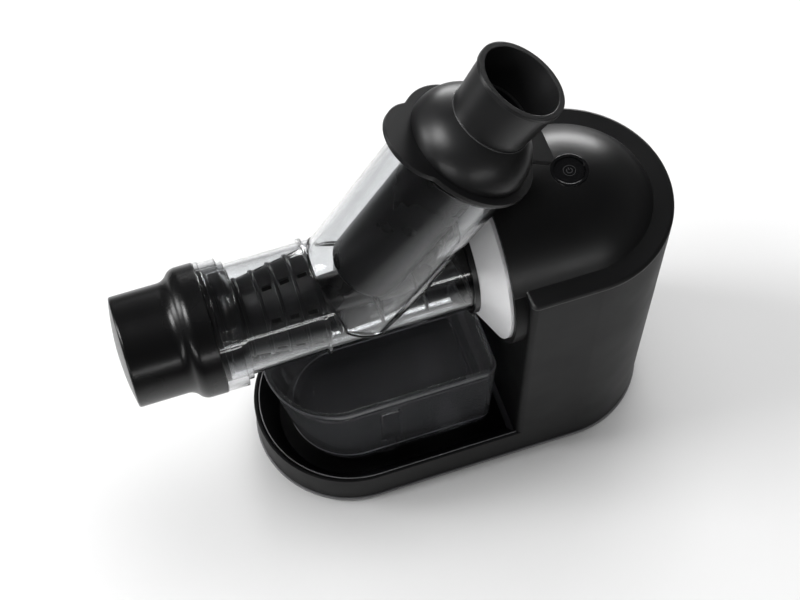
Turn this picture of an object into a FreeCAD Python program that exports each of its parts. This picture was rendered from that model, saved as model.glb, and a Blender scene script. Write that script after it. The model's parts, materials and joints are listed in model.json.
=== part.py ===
"""Cold press juicer with a horizontal press screw.

Millimetres, +Z up.  +X runs from the pulp container towards the motor tower, and Y is across.
Inside the model x is counted from the centre of the base's round front; every finished piece is
then moved by the same amount, so that the origin is the middle of the footprint on the floor.
"""
import FreeCAD, Part
import math
import os
import Sketcher
from FreeCAD import Placement, Rotation, Vector

DIMENSIONS = {
    "base_radius": 60.0,            # half width of the body at its lower edge
    "base_span": 132.7,             # between the centres of the round front and the round rear
    "base_gap": 4.2,                # floor to the body's lower edge
    "platform_top": 30.1,           # raised rim round the jug's tray
    "tray_floor": 8.0,
    "tray_rim": 1.8,                # width of the rim that is left round the tray
    "tray_slope": 30.0,             # the tray wall's lean in degrees
    "side_lean": 0.55,              # outward draft of the body's sides in degrees
    "seam_height": 193.5,           # between lower housing and top cover
    "tower_front": 91.0,            # flat front of the motor tower
    "tower_corner": 4.0,            # rounding of the tower's upright front edges
    "rim_rounding": 1.0,
    "shell": 2.8,                   # wall of the housings
    "ledge_height": 2.6,            # shoulder round the foot of the dome
    "foot_radius": 8.0,
    "foot_height": 2.8,
    "foot_pocket": 1.2,
    "foot_inset": 20.0,
    "plate_edge": 1.4,              # the base plate stands back from the body by this much
    "axis_height": 167.4,           # axis of the juicing tube and of the drive
    "dome_radius": 57.5,
    "collar_length": 7.0,           # the round collar in front of the tower
    "collar_wall": 3.0,
    "cone_face": 82.2,              # widest circle of the silver cone
    "cone_radius": 53.9,
    "cone_nose": 71.4,              # narrow end of the silver cone
    "cone_bore": 34.9,
    "cone_wall": 1.6,
    "tube_radius": 32.1,
    "tube_wall": 2.8,
    "tube_front": -73.5,
    "tube_rear": 84.0,
    "saddle_front": -17.0,          # ring round the tube ahead of the chute
    "saddle_width": 1.8,
    "saddle_rise": 1.9,
    "chute_foot": 4.4,              # the chute's axis meets the tube's axis here
    "chute_tilt": 31.8,
    "chute_radius": 33.8,
    "chute_wall": 2.7,
    "chute_length": 128.2,          # from the tube's axis, along the chute's axis
    "chute_lip": 3.4,
    "spout_centre": 25.0,
    "spout_length": 18.0,
    "spout_width": 14.0,
    "spout_drop": 3.6,              # the spout stands out below the tube by this much
    "ring_radius": 37.4,            # bayonet ring at the tube's front
    "ring_front": -76.6,
    "ring_length": 12.2,
    "ring_step": 3.4,
    "ring_slot_land": 2.6,
    "ring_slot_depth": 0.8,
    "ring_slot_end": 100.0,         # the slot's far end, in degrees round the tube from the top
    "ring_slot_sweep": 136.0,
    "ring_notch_depth": 1.6,
    "ring_notch_sweep": 8.0,
    "ring_step_radius": 34.3,
    "fit": 0.35,                    # clearance of pieces that slide over one another
    "slack": 0.05,                  # clearance of shafts in their bearings
    "cup_radius": 31.8,             # pulp container
    "cup_flare": 37.7,
    "cup_edge": 1.5,
    "cup_wall": 2.4,
    "cup_front": -124.9,
    "cup_bulge": 4.6,
    "flare_front": -98.5,
    "flare_rear": -86.5,
    "keel_drop": 36.7,              # flat under the container, below the tube's axis
    "keel_width": 26.0,
    "keel_corner": 5.0,
    "seal_radius": 14.0,
    "strainer_taper": 6.4,          # the strainer's front is narrower by this much
    "strainer_front": -58.0,
    "strainer_rear": -17.0,
    "strainer_wall": 1.3,
    "strainer_flange": 2.0,
    "strainer_rib": 1.1,
    "strainer_rib_width": 1.6,
    "strainer_slot": 3.0,
    "screw_tip": -54.0,
    "screw_rear": 74.0,
    "screw_core_tip": 9.0,
    "screw_core": 15.5,
    "flight_gap": 0.9,              # between the flight and the strainer
    "flight_pitch": 26.0,
    "flight_width": 3.2,
    "pusher_radius": 21.4,
    "pusher_wall": 2.4,
    "pusher_end": 19.0,             # from the tube's axis to the pusher's lower end
    "pusher_floor": 32.0,           # solid lower end, hollowed to clear the press screw
    "flange_thick": 2.7,
    "flange_radius": 39.2,
    "flange_corner": 4.0,
    "thumb_reach": 27.0,            # centre of the thumb lobe, away from the tower
    "thumb_radius": 24.3,
    "tab_reach": 55.5,
    "tab_near": 8.0,
    "tab_far": 16.0,
    "dome_base": 34.5,              # foot of the grip's dome
    "dome_curve": 24.0,             # radius of the dome's rounding
    "neck_radius": 22.0,
    "neck_height": 154.0,           # the barrel's inner throat ends a little above this
    "mouth_radius": 25.2,
    "mouth_height": 181.8,
    "mouth_lip": 3.2,
    "mouth_bead": 2.4,
    "grip_wall": 3.0,
    "jug_room": 22.5,               # the jug's base is narrower than the body by this much
    "jug_base_centre": 1.5,
    "jug_flare": 5.1,               # widening from base to rim
    "jug_rim_centre": -8.4,
    "jug_rim": 91.0,
    "jug_bottom": 8.4,
    "jug_rear": 83.4,
    "jug_wall": 2.0,
    "jug_corner": 7.0,
    "jug_skirt": 13.0,              # height of the drawn-in foot
    "jug_skirt_step": 1.2,
    "recess_centre": 15.4,          # finger recess in the jug's near side
    "recess_radius": 8.0,
    "recess_depth": 3.4,
    "recess_top": 74.0,
    "recess_shelf": 34.0,
    "button_centre": 133.4,
    "button_radius": 8.4,
    "button_thick": 3.4,
    "button_sink": 1.2,
    "stem_radius": 2.0,             # the button's stem, down to the switch
    "well_radius": 10.6,
    "well_depth": 13.0,
    "well_floor": 1.6,
    "switch_length": 14.0,
    "switch_width": 10.0,
    "switch_height": 11.5,
    "switch_bore": 2.8,
    "module_output": 1.5,
    "module_motor": 1.25,
    "teeth_large": 48.0,
    "teeth_small": 12.0,
    "gear_width": 8.0,
    "gear_start": 99.0,
    "case_wall": 2.6,
    "case_start": 94.4,
    "motor_room": 30.0,             # the motor is narrower than the body by this much
    "motor_end_room": 17.05,        # from the motor's end to the rear of the body
    "shaft_radius": 6.0,
    "idler_pin_radius": 3.0,
    "output_bearing_radius": 12.0,
    "motor_bearing_radius": 7.0,
    "motor_bearing_width": 5.0,
    "can_wall": 7.0,                # the can with the magnets inside it
    "can_end": 2.5,
    "board_thick": 1.6,
    "motor_shaft_radius": 3.0,
    "hex_radius": 8.0,
    "board_width": 62.0,
    "board_height": 44.0,
    "gland_radius": 7.0,
    "gland_length": 7.5,
    "cable_radius": 3.2,
    "gland_height": 22.0,
}

document = FreeCAD.newDocument("juicer")
sheet = document.addObject("Spreadsheet::Sheet", "dims")
for row, (name, number) in enumerate(DIMENSIONS.items(), start=1):
    sheet.set("A%d" % row, name)
    sheet.set("B%d" % row, str(number))
    sheet.setAlias("B%d" % row, name)
document.recompute()


class Size:
    """A number together with the sheet formula that gives it."""

    def __init__(self, number, formula):
        self.number = number
        self.formula = formula

    @staticmethod
    def of(item):
        return item if isinstance(item, Size) else Size(float(item), "(%r)" % float(item))

    def __add__(self, other):
        other = Size.of(other)
        return Size(self.number + other.number, "(%s + %s)" % (self.formula, other.formula))

    def __sub__(self, other):
        other = Size.of(other)
        return Size(self.number - other.number, "(%s - %s)" % (self.formula, other.formula))

    def __mul__(self, other):
        other = Size.of(other)
        return Size(self.number * other.number, "(%s * %s)" % (self.formula, other.formula))

    def __truediv__(self, other):
        other = Size.of(other)
        return Size(self.number / other.number, "(%s / %s)" % (self.formula, other.formula))

    def __radd__(self, other):
        return Size.of(other) + self

    def __rsub__(self, other):
        return Size.of(other) - self

    def __rmul__(self, other):
        return Size.of(other) * self

    def __neg__(self):
        return Size(0.0, "(0)") - self

    def root(self):
        return Size(math.sqrt(self.number), "sqrt(%s)" % self.formula)

    def sine(self):
        return Size(math.sin(math.radians(self.number)), "sin(%s)" % self.formula)


class Sizes:
    """Every aliased cell of the sheet as a Size."""

    def __getattr__(self, name):
        return Size(float(sheet.get(name)), "dims.%s" % name)


d = Sizes()
pieces = []
homes = {}                          # x of the pieces that are placed before they are finished


def bind(thing, prop, size):
    """Ties one property of an object to the sheet."""
    thing.setExpression(prop, Size.of(size).formula)


def new_body(name):
    return document.addObject("PartDesign::Body", name)


def plane_of(body, role):
    for feature in body.Origin.OriginFeatures:
        if feature.Role == role:
            return feature
    raise ValueError(role)


def add_outline(sketch, outline):
    """Closed outline of (x, y) corners; a corner with (cx, cy, turn) is reached along an arc."""
    count = len(outline)
    first = sketch.GeometryCount
    for index, corner in enumerate(outline):
        target = outline[(index + 1) % count]
        start = Vector(Size.of(corner[0]).number, Size.of(corner[1]).number, 0)
        end = Vector(Size.of(target[0]).number, Size.of(target[1]).number, 0)
        if len(target) == 2:
            sketch.addGeometry(Part.LineSegment(start, end), False)
            continue
        centre = Vector(Size.of(target[2][0]).number, Size.of(target[2][1]).number, 0)
        circle = Part.Circle(centre, Vector(0, 0, 1), (start - centre).Length)
        ends = (start, end) if target[2][2] > 0 else (end, start)
        angles = [math.atan2(point.y - centre.y, point.x - centre.x) for point in ends]
        sketch.addGeometry(Part.ArcOfCircle(circle, angles[0], angles[1]), False)
    for index, corner in enumerate(outline):
        edge = first + index
        after = first + (index + 1) % count
        target = outline[(index + 1) % count]
        following = outline[(index + 2) % count]
        backwards = len(target) == 3 and target[2][2] < 0
        after_backwards = len(following) == 3 and following[2][2] < 0
        begin, finish = (2, 1) if backwards else (1, 2)
        sketch.addConstraint(Sketcher.Constraint("Coincident", edge, finish, after,
                                                 2 if after_backwards else 1))
        for kind, size in (("DistanceX", corner[0]), ("DistanceY", corner[1])):
            size = Size.of(size)
            number = sketch.addConstraint(Sketcher.Constraint(kind, edge, begin, size.number))
            sketch.setExpression("Constraints[%d]" % number, size.formula)
        if len(target) == 3:
            across = abs(Size.of(target[0]).number - Size.of(corner[0]).number)
            along = abs(Size.of(target[1]).number - Size.of(corner[1]).number)
            kind = "DistanceX" if along >= across else "DistanceY"
            size = Size.of(target[2][0] if along >= across else target[2][1])
            number = sketch.addConstraint(Sketcher.Constraint(kind, edge, 3, size.number))
            sketch.setExpression("Constraints[%d]" % number, size.formula)


def add_circle(sketch, x, y, radius):
    x, y, radius = Size.of(x), Size.of(y), Size.of(radius)
    circle = Part.Circle(Vector(x.number, y.number, 0), Vector(0, 0, 1), radius.number)
    edge = sketch.addGeometry(circle, False)
    for constraint, size in ((Sketcher.Constraint("DistanceX", edge, 3, x.number), x),
                             (Sketcher.Constraint("DistanceY", edge, 3, y.number), y),
                             (Sketcher.Constraint("Radius", edge, radius.number), radius)):
        number = sketch.addConstraint(constraint)
        sketch.setExpression("Constraints[%d]" % number, size.formula)


def new_sketch(body, role, outlines, shift=(0, 0, 0)):
    """A sketch on one origin plane of the body, moved by shift in the sketch's own axes."""
    sketch = body.newObject("Sketcher::SketchObject", body.Name + "_sketch")
    sketch.AttachmentSupport = [(plane_of(body, role), "")]
    sketch.MapMode = "FlatFace"
    for axis, size in zip("xyz", shift):
        bind(sketch, "AttachmentOffset.Base.%s" % axis, size)
    for outline in outlines:
        if len(outline) == 3 and not isinstance(outline[0], tuple):
            add_circle(sketch, *outline)
        else:
            add_outline(sketch, outline)
    return sketch


def pad(body, sketch, length, lean=0, backwards=False):
    feature = body.newObject("PartDesign::Pad", body.Name + "_pad")
    feature.Profile = sketch
    bind(feature, "Length", length)
    bind(feature, "TaperAngle", lean)
    feature.Reversed = backwards
    return feature


def pocket(body, sketch, length, backwards=False):
    feature = body.newObject("PartDesign::Pocket", body.Name + "_pocket")
    feature.Profile = sketch
    bind(feature, "Length", length)
    feature.Reversed = backwards
    return feature


def turn(body, sketch, axis="H_Axis", kind="Revolution"):
    feature = body.newObject("PartDesign::" + kind, body.Name + "_turn")
    feature.Profile = sketch
    feature.ReferenceAxis = (sketch, [axis])
    feature.Angle = 360
    return feature


def round_edges(body, feature, radius, wanted):
    """Rounds the edges of a feature that pass a test on the edge."""
    document.recompute()
    names = ["Edge%d" % number for number, edge in enumerate(feature.Shape.Edges, start=1)
             if wanted(edge)]
    rounding = body.newObject("PartDesign::Fillet", body.Name + "_rounding")
    rounding.Base = (feature, names)
    bind(rounding, "Radius", radius)
    return rounding


def upright(edge):
    box = edge.BoundBox
    return box.ZLength > 2 * max(box.XLength, box.YLength)


def polar(body, feature, sketch, axis, count):
    """Repeats a feature evenly round a sketch axis and makes the result the body's tip."""
    pattern = body.newObject("PartDesign::PolarPattern", body.Name + "_polar")
    pattern.Originals = [feature]
    pattern.Axis = (sketch, [axis])
    pattern.Angle = 360
    pattern.Occurrences = count
    body.Tip = pattern
    return pattern


def turned_on_tube(name, outlines):
    """A body turned about the tube's axis from outlines of (x, radius) corners."""
    body = new_body(name)
    sketch = new_sketch(body, "XZ_Plane", outlines, (0, d.axis_height, 0))
    turn(body, sketch)
    return body


def turned_on_chute(name, outlines):
    """A body turned about the chute's axis from outlines of (radius, distance) corners."""
    body = new_body(name)
    sketch = new_sketch(body, "XZ_Plane", outlines)
    turn(body, sketch, "V_Axis")
    tilt(body)
    return body


def tilt(thing):
    """Stands a piece modelled along Z on the chute's axis."""
    homes[thing.Name] = d.chute_foot
    thing.Placement = Placement(Vector(0, 0, 0), Rotation(Vector(0, 1, 0), d.chute_tilt.number))
    bind(thing, "Placement.Rotation.Angle", d.chute_tilt)
    bind(thing, "Placement.Base.x", d.chute_foot)
    bind(thing, "Placement.Base.z", d.axis_height)


def rod(name, x, y, z, radius, length, direction="x"):
    """A round bar from a point along X, Y or Z."""
    bar = document.addObject("Part::Cylinder", name)
    bind(bar, "Radius", radius)
    bind(bar, "Height", length)
    homes[bar.Name] = x
    turns = {"x": Rotation(Vector(0, 1, 0), 90), "y": Rotation(Vector(1, 0, 0), -90), "z": Rotation()}
    bar.Placement = Placement(Vector(), turns[direction])
    for axis, size in zip("xyz", (x, y, z)):
        bind(bar, "Placement.Base.%s" % axis, size)
    return bar


def block(name, x, y, z, length, width, height):
    """A box from its corner nearest to the origin."""
    box = document.addObject("Part::Box", name)
    homes[box.Name] = x
    for prop, size in (("Length", length), ("Width", width), ("Height", height),
                       ("Placement.Base.x", x), ("Placement.Base.y", y), ("Placement.Base.z", z)):
        bind(box, prop, size)
    return box


def fuse(name, *things):
    joined = document.addObject("Part::MultiFuse", name)
    joined.Shapes = list(things)
    return joined


def cut(name, base, *tools):
    result = document.addObject("Part::Cut", name)
    result.Base = base
    result.Tool = tools[0] if len(tools) == 1 else fuse(name + "_tools", *tools)
    return result


def group(name, *things):
    compound = document.addObject("Part::Compound", name)
    compound.Links = list(things)
    return compound


def piece(label, thing):
    """Registers a finished piece and moves it into the row's frame."""
    thing.Label = label
    bind(thing, "Placement.Base.x", homes.get(thing.Name, 0) - origin_shift)
    pieces.append(thing)
    return thing


def stadium(front, rear, radius):
    """Round front and rear about two centres on the X axis, as one outline."""
    return [(front, radius), (front, -radius, (front, 0, 1)), (rear, -radius),
            (rear, radius, (rear, 0, 1))]


def tower_outline(front, rear, radius):
    """Flat front and round rear."""
    return [(front, radius), (front, -radius), (rear, -radius), (rear, radius, (rear, 0, 1))]


def ring(x0, x1, inner, outer):
    """Rectangle of (x, radius) corners for a plain ring."""
    return [(x0, inner), (x1, inner), (x1, outer), (x0, outer)]


# Sizes that follow from the sheet
body_height = d.seam_height - d.base_gap
lean_sine = d.side_lean.sine()
seam_radius = d.base_radius + body_height * lean_sine
origin_shift = (d.base_span + seam_radius + d.cup_front - d.cup_bulge) / 2
output_radius = d.module_output * d.teeth_large / 2
idler_height = d.axis_height - d.module_output * (d.teeth_large + d.teeth_small) / 2
motor_height = idler_height - d.module_motor * (d.teeth_large + d.teeth_small) / 2
second_gear = d.gear_start + d.gear_width + 1
case_end = second_gear + d.gear_width + 1
motor_start = case_end + d.case_wall + d.slack
motor_radius = d.base_radius - d.motor_room
motor_length = d.base_span + d.base_radius - d.motor_end_room - motor_start
jug_base_radius = d.base_radius - d.jug_room
jug_rim_radius = jug_base_radius + d.jug_flare
dome_top = d.axis_height + d.dome_radius
tube_bore = d.tube_radius - d.tube_wall
strainer_rear_radius = tube_bore - 0.9
strainer_front_radius = strainer_rear_radius - d.strainer_taper
collar_bore = d.dome_radius - d.collar_wall
flange_height = d.chute_length + d.slack
cup_rear = d.ring_front - d.fit


# Lower housing: platform with the jug's tray, and the motor tower
def lower_housing():
    outer = new_body("housing_outer")
    base = new_sketch(outer, "XY_Plane", [stadium(0, d.base_span, d.base_radius)],
                      (0, 0, d.base_gap))
    platform = pad(outer, base, d.platform_top - d.base_gap, d.side_lean)
    round_edges(outer, platform, d.rim_rounding,
                lambda edge: edge.BoundBox.ZMin > d.platform_top.number - 0.01)
    tower = new_body("tower_outer")
    foot = new_sketch(tower, "XY_Plane",
                      [tower_outline(d.tower_front, d.base_span, d.base_radius)],
                      (0, 0, d.base_gap))
    pad(tower, foot, body_height, d.side_lean)
    front = [[(d.tower_front - 20, -d.base_radius * 2), (d.tower_front, -d.base_radius * 2),
              (d.tower_front, d.base_radius * 2), (d.tower_front - 20, d.base_radius * 2)]]
    trim = new_sketch(tower, "XY_Plane", front, (0, 0, d.base_gap))
    squared = pocket(tower, trim, body_height + 1, True)
    round_edges(tower, squared, d.tower_corner,
                lambda edge: upright(edge) and edge.BoundBox.XMax < d.tower_front.number + 1)
    collar = turned_on_tube("collar_outer", [ring(d.tower_front - d.collar_length,
                                                  d.tower_front + 1, 0.0, d.dome_radius)])
    above = block("collar_trim", 0, -100, d.seam_height, 300, 200, 100)
    collar_low = cut("collar_low", collar, above)
    shell = fuse("housing_solid", outer, tower, collar_low)

    under = new_body("platform_inner")
    inside = d.base_radius - d.shell
    below = new_sketch(under, "XY_Plane", [stadium(0, d.base_span, inside)], (0, 0, 0))
    pad(under, below, d.platform_top - d.shell, d.side_lean)
    bowl = new_body("tray_outer")
    rim = new_sketch(bowl, "XY_Plane",
                     [stadium(0, d.base_span, d.base_radius - d.tray_rim + d.shell)],
                     (0, 0, d.platform_top))
    pad(bowl, rim, d.platform_top - d.tray_floor + d.shell, -d.tray_slope, True)
    bowl_trim = block("tray_outer_trim", d.tower_front, -100, -10, 200, 200, 60)
    hollow = cut("platform_hollow", under, cut("tray_shell", bowl, bowl_trim))

    tray = new_body("tray_inner")
    mouth = new_sketch(tray, "XY_Plane",
                       [stadium(0, d.base_span, d.base_radius - d.tray_rim)],
                       (0, 0, d.platform_top))
    pad(tray, mouth, d.platform_top - d.tray_floor, -d.tray_slope, True)
    tray_trim = block("tray_trim", d.tower_front, -100, -10, 200, 200, 60)
    tray_cut = cut("tray_hollow", tray, tray_trim)

    cavity = new_body("tower_inner")
    wall = new_sketch(cavity, "XY_Plane",
                      [tower_outline(d.tower_front + d.shell, d.base_span, inside)], (0, 0, 0))
    pad(cavity, wall, d.seam_height + 1, d.side_lean)
    cavity_front = block("tower_inner_trim", 0, -100, 0, d.tower_front + d.shell, 200, 300)
    cavity_cut = cut("tower_hollow", cavity, cavity_front)
    nose = turned_on_tube("collar_bore", [ring(0, d.tower_front, 0.0, collar_bore)])
    shaft_hole = rod("shaft_hole", d.tower_front - 1, 0, d.axis_height,
                     d.seal_radius + d.slack, d.shell + 2)
    gland_hole = rod("gland_hole", d.base_span, 0, d.gland_height, d.gland_radius + d.slack,
                     d.base_radius + 10)
    return cut("lower_housing", shell, hollow, tray_cut, cavity_cut, nose, shaft_hole, gland_hole)


# Base plate with pockets for the feet and slots for the motor's cooling air
def foot_places():
    near = d.base_radius - d.foot_inset
    rear = d.base_span + d.foot_inset
    return [(x, side * near) for x in (-d.foot_inset * 0.5, rear) for side in (-1, 1)]


def base_plate():
    body = new_body("plate")
    low = d.base_gap - d.foot_height + d.foot_pocket
    bottom = new_sketch(body, "XY_Plane",
                        [stadium(0, d.base_span, d.base_radius - d.plate_edge)], (0, 0, low))
    pad(body, bottom, d.base_gap - low)
    lid = new_sketch(body, "XY_Plane",
                     [stadium(0, d.base_span, d.base_radius - d.shell - d.fit)], (0, 0, d.base_gap))
    pad(body, lid, d.tray_floor - d.shell - d.base_gap - 0.1)
    feet = new_sketch(body, "XY_Plane",
                      [(x, y, d.foot_radius + d.slack) for x, y in foot_places()], (0, 0, low))
    pocket(body, feet, d.foot_pocket, True)
    slots = [[(x, -16), (x + 3, -16), (x + 3, 16), (x, 16)]
             for x in [d.base_span - 24 + 9 * step for step in range(5)]]
    vents = new_sketch(body, "XY_Plane", slots, (0, 0, 0))
    pocket(body, vents, d.base_gap * 3, True)
    return body


def rubber_feet():
    bottom = [rod("foot_%d" % number, x, y, 0, d.foot_radius, d.foot_height)
              for number, (x, y) in enumerate(foot_places(), start=1)]
    for foot in bottom:
        foot.Placement.Rotation = Rotation()
    return group("feet", *bottom)


# Top cover: barrel and round rear over the drive, standing on a low ledge
def top_cover():
    centre = d.base_span
    outer = turned_on_tube("cover_outer", [[
        (d.tower_front - d.collar_length, 0.0), (centre + d.dome_radius, 0.0),
        (centre, d.dome_radius, (centre, 0.0, 1)),
        (d.tower_front - d.collar_length, d.dome_radius)]])
    ledge = new_body("ledge")
    outline = new_sketch(ledge, "XY_Plane", [tower_outline(d.tower_front, centre, seam_radius)],
                         (0, 0, d.seam_height))
    step = pad(ledge, outline, d.ledge_height)
    corners = round_edges(ledge, step, d.tower_corner,
                          lambda edge: upright(edge) and edge.BoundBox.XMax < d.tower_front.number + 1)
    round_edges(ledge, corners, d.ledge_height * 0.8,
                lambda edge: edge.BoundBox.ZMin > (d.seam_height + d.ledge_height).number - 0.01)
    solid = fuse("cover_solid", outer, ledge)
    below = block("cover_below", 0, -100, 0, 300, 200, d.seam_height)
    inner_radius = d.dome_radius - d.shell
    hollow = turned_on_tube("cover_inner", [[
        (d.tower_front + d.shell, 0.0), (centre + inner_radius, 0.0),
        (centre, inner_radius, (centre, 0.0, 1)), (d.tower_front + d.shell, inner_radius)]])
    nose = turned_on_tube("cover_bore", [ring(0, d.tower_front, 0.0, collar_bore)])
    button_hole = rod("button_hole", d.button_centre, 0, d.axis_height,
                      d.well_radius + d.slack, d.dome_radius + 10, "z")
    return cut("cover", solid, below, hollow, nose, button_hole)


# Silver cone and the collar that the juicing tube plugs into
def drive_cone():
    back = d.tower_front - d.slack
    wall = d.cone_wall
    return turned_on_tube("cone", [[
        (d.cone_nose, d.cone_bore), (d.cone_face, d.cone_radius), (back, d.cone_radius),
        (back, d.cone_radius - wall), (d.cone_face + wall, d.cone_radius - wall),
        (d.cone_nose + wall * 1.6, d.cone_bore)]])


def coupling_collar():
    back = d.tower_front - d.slack
    stop = d.tube_rear + d.fit
    return turned_on_tube("collar", [[
        (d.cone_nose - 3, d.tube_radius + d.fit), (stop, d.tube_radius + d.fit),
        (stop, d.seal_radius + d.slack), (back, d.seal_radius + d.slack),
        (back, d.cone_bore - d.slack), (d.cone_nose - 3, d.cone_bore - d.slack)]])


# Clear juicing chamber: tube, saddle ring, chute and spout
def juicing_chamber():
    tube = turned_on_tube("tube_outer", [ring(d.tube_front, d.tube_rear, 0.0, d.tube_radius)])
    saddle = turned_on_tube("saddle", [ring(d.saddle_front, d.saddle_front + d.saddle_width, 0.0,
                                            d.tube_radius + d.saddle_rise)])
    lip = d.chute_radius + d.chute_lip
    chute = turned_on_chute("chute_outer", [[
        (0.0, 0.0), (d.chute_radius, 0.0), (d.chute_radius, d.chute_length - 3),
        (lip, d.chute_length - 3), (lip, d.chute_length), (0.0, d.chute_length)]])
    spout = block("spout_outer", d.spout_centre - d.spout_length / 2, -d.spout_width / 2,
                  d.axis_height - d.tube_radius - d.spout_drop, d.spout_length, d.spout_width, 20)
    solid = fuse("chamber_solid", tube, saddle, chute, spout)
    bore = turned_on_tube("tube_bore", [ring(d.tube_front - 1, d.tube_rear + 1, 0.0, tube_bore)])
    hollow = turned_on_chute("chute_bore", [[
        (0.0, 0.0), (d.chute_radius - d.chute_wall, 0.0),
        (d.chute_radius - d.chute_wall, d.chute_length + 1), (0.0, d.chute_length + 1)]])
    drain = block("spout_bore", d.spout_centre - d.spout_length / 2 + 2, -d.spout_width / 2 + 2,
                  d.axis_height - d.tube_radius - d.spout_drop - 1, d.spout_length - 4,
                  d.spout_width - 4, 20)
    return cut("chamber", solid, bore, hollow, drain)


# Bayonet ring, seals and pulp container
def part_ring(name, outline, start, sweep):
    """Part of a turn about the tube's axis, from an angle that is counted from the top."""
    body = new_body(name)
    sketch = new_sketch(body, "XZ_Plane", [outline])
    bind(turn(body, sketch), "Angle", sweep)
    body.Placement = Placement(Vector(), Rotation(Vector(1, 0, 0), start.number))
    bind(body, "Placement.Rotation.Angle", start)
    bind(body, "Placement.Base.z", d.axis_height)
    return body


def bayonet_ring():
    rear = d.ring_front + d.ring_length
    inner = d.tube_radius + d.fit
    step = rear + d.ring_step
    land = d.ring_front + d.ring_slot_land
    body = turned_on_tube("bayonet", [[
        (d.ring_front, inner), (step, inner), (step, d.ring_step_radius),
        (rear, d.ring_step_radius), (rear, d.ring_radius), (d.ring_front, d.ring_radius)]])
    end = -d.ring_slot_end
    band = part_ring("slot_band", ring(land, rear + 1, d.ring_radius - d.ring_slot_depth,
                                       d.ring_radius + 1), end, d.ring_slot_sweep)
    notch = part_ring("slot_notch",
                      ring(land, rear - d.ring_slot_land, d.ring_radius - d.ring_notch_depth,
                           d.ring_radius + 1),
                      end + d.ring_slot_sweep + 1, d.ring_notch_sweep)
    return cut("bayonet_cut", body, band, notch)


def pulp_seal():
    return turned_on_tube("seal", [ring(d.ring_front, d.tube_front - d.slack,
                                        tube_bore, d.tube_radius)])


def cup_outline():
    """Half outline of the container: domed front, straight barrel and an S-shaped flare."""
    rise = (d.cup_flare - d.cup_radius) / 2
    half = (d.flare_rear - d.flare_front) / 2
    curve = (half * half + rise * rise) / (2 * rise)
    middle = ((d.flare_front + d.flare_rear) / 2, (d.cup_flare + d.cup_radius) / 2)
    reach = d.cup_radius - d.cup_edge
    bulge = d.cup_bulge - d.cup_edge
    arch = (reach * reach + bulge * bulge) / (2 * bulge)
    nose = d.cup_front - d.cup_bulge
    return [(cup_rear, 0.0), (cup_rear, d.cup_flare), (d.flare_rear, d.cup_flare),
            middle + ((d.flare_rear, d.cup_flare - curve, 1),),
            (d.flare_front, d.cup_radius, (d.flare_front, d.cup_radius + curve, -1)),
            (d.cup_front, d.cup_radius),
            (d.cup_front - d.cup_edge, reach, (d.cup_front, reach, 1)),
            (nose, 0.0, (nose + arch, 0.0, 1))]


def pulp_container():
    outer = turned_on_tube("cup_outer", [cup_outline()])
    keel = new_body("keel")
    low = d.axis_height - d.keel_drop
    flat = new_sketch(keel, "XZ_Plane", [[
        (d.cup_front + d.keel_corner, low), (d.flare_front, low),
        (d.flare_front + d.keel_corner, low + 8),
        (d.flare_front, d.axis_height), (d.cup_front + 2, d.axis_height),
        (d.cup_front + 2, low + d.keel_corner)]], (0, 0, -d.keel_width / 2))
    pad(keel, flat, d.keel_width)
    solid = fuse("cup_solid", outer, keel)
    inner = d.cup_radius - d.cup_wall
    hollow = turned_on_tube("cup_inner", [[
        (d.cup_front, 0.0), (cup_rear + 1, 0.0), (cup_rear + 1, d.cup_flare - d.cup_wall),
        (d.flare_rear + d.cup_wall, d.cup_flare - d.cup_wall), (d.flare_front + d.cup_wall, inner),
        (d.cup_front, inner)]])
    return cut("cup", solid, hollow)


# Strainer: slotted cone in the front of the tube
def strainer():
    body = new_body("strainer_body")
    wall = d.strainer_wall
    front, rear = d.strainer_front, d.strainer_rear
    flange = d.tube_front - d.slack + d.fit
    sketch = new_sketch(body, "XZ_Plane", [[
        (flange, strainer_front_radius - wall), (front, strainer_front_radius - wall),
        (rear, strainer_rear_radius - wall), (rear + 3, strainer_rear_radius - wall),
        (rear + 3, strainer_rear_radius), (rear, strainer_rear_radius),
        (front, strainer_front_radius), (flange + d.strainer_flange, strainer_front_radius),
        (flange + d.strainer_flange, tube_bore - d.slack), (flange, tube_bore - d.slack)]],
        (0, d.axis_height, 0))
    turn(body, sketch)
    spacing = (rear - front) / 4
    slope = (strainer_rear_radius - strainer_front_radius) / (rear - front)
    ribs = []
    slots = []
    for step in range(4):
        x = front + spacing * step
        top = strainer_front_radius + slope * spacing * step + d.strainer_rib
        ribs.append(ring(x, x + d.strainer_rib_width, top - 2 * d.strainer_rib, top))
        begin, end = x + 2 * d.strainer_rib_width, x + spacing - d.strainer_rib_width
        slots.append([(begin, -d.strainer_slot / 2), (end, -d.strainer_slot / 2),
                      (end, d.strainer_slot / 2), (begin, d.strainer_slot / 2)])
    raised = new_sketch(body, "XZ_Plane", ribs, (0, d.axis_height, 0))
    turn(body, raised)
    windows = new_sketch(body, "XY_Plane", slots[1:], (0, 0, d.axis_height))
    openings = pocket(body, windows, d.tube_radius, True)
    polar(body, openings, sketch, "H_Axis", 8)
    return body


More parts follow.
